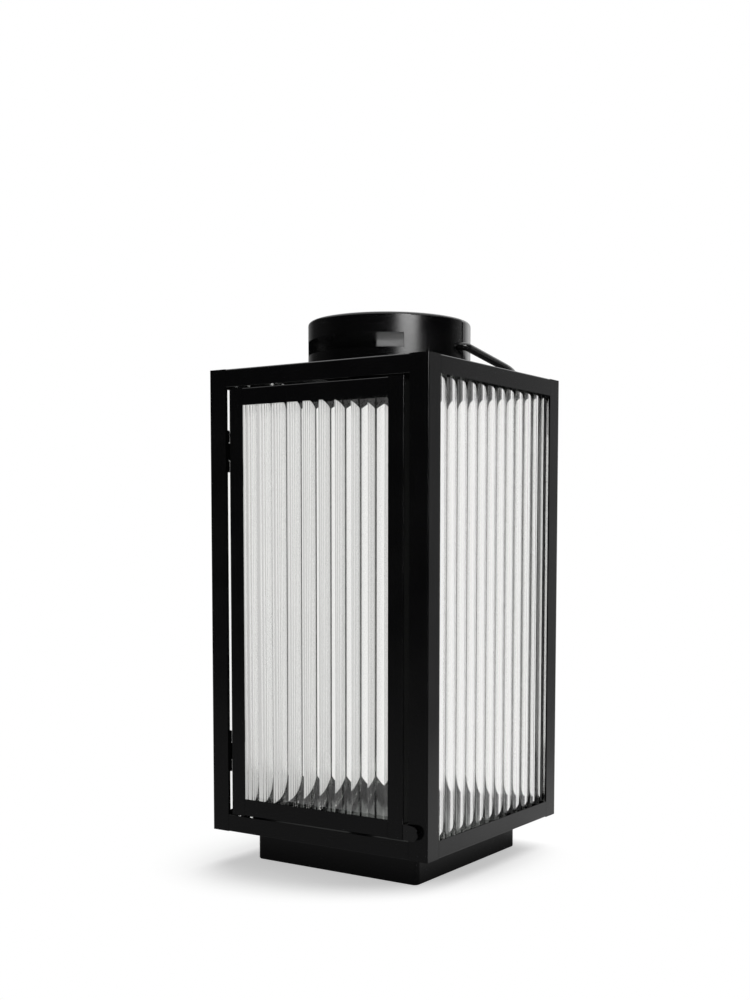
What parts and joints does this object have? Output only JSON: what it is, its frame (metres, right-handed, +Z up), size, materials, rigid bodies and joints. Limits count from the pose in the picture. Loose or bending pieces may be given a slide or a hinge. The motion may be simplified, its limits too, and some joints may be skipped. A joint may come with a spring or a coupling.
{
  "type": "candle lantern",
  "caption": "Square black steel candle lantern with fluted glass panes, a hinged glazed door, a round vented chimney, an inset plinth and a folding wire bail.",
  "frame": {"origin": "middle of the plinth's flat underside, on the floor", "axes": "+Z up, -Y towards the door's side, +X to the right of someone facing the door"},
  "size_m": [0.16, 0.191, 0.3389],
  "materials": {
    "frame_paint": "semi-gloss black powder coat",
    "chimney_paint": "gloss black powder coat",
    "wire_paint": "semi-gloss black powder coat",
    "hinge_paint": "matt black paint",
    "fluted_glass": "clear, fluted outside"
  },
  "bodies": {
    "lantern_body": {"bottom_rail_back": "frame_paint", "bottom_rail_front": "frame_paint", "bottom_rail_left": "frame_paint", "bottom_rail_right": "frame_paint", "chimney_collar": "chimney_paint", "chimney_lid": "chimney_paint", "floor_plate": "frame_paint", "glass_back": "fluted_glass", "glass_clips_back": "frame_paint", "glass_clips_left": "frame_paint", "glass_clips_right": "frame_paint", "glass_left": "fluted_glass", "glass_right": "fluted_glass", "hinge_pin_lower": "hinge_paint", "hinge_pin_upper": "hinge_paint", "hinge_post_leaf_lower": "hinge_paint", "hinge_post_leaf_upper": "hinge_paint", "plinth": "frame_paint", "post_back_left": "frame_paint", "post_back_right": "frame_paint", "post_front_left": "frame_paint", "post_front_right": "frame_paint", "roof_plate": "frame_paint", "top_rail_back": "frame_paint", "top_rail_front": "frame_paint", "top_rail_left": "frame_paint", "top_rail_right": "frame_paint"},
    "door": {"door_glass": "fluted_glass", "door_glass_clips": "frame_paint", "door_pull": "frame_paint", "door_rail_bottom": "frame_paint", "door_rail_top": "frame_paint", "door_stile_hinge": "frame_paint", "door_stile_latch": "frame_paint", "hinge_door_leaf_lower": "hinge_paint", "hinge_door_leaf_upper": "hinge_paint"},
    "bail": {"bail": "wire_paint"}
  },
  "joints": [
    {"name": "door_swing", "type": "hinge", "parent": "lantern_body", "child": "door", "pos_m": [-0.0659, -0.0795, 0.1636], "axis": [0, 0, -1], "range_deg": [0, 150]},
    {"name": "bail_swing", "type": "hinge", "parent": "lantern_body", "child": "bail", "pos_m": [0, 0, 0.3217], "axis": [1, 0, 0], "range_deg": [0, 196.8]}
  ]
}
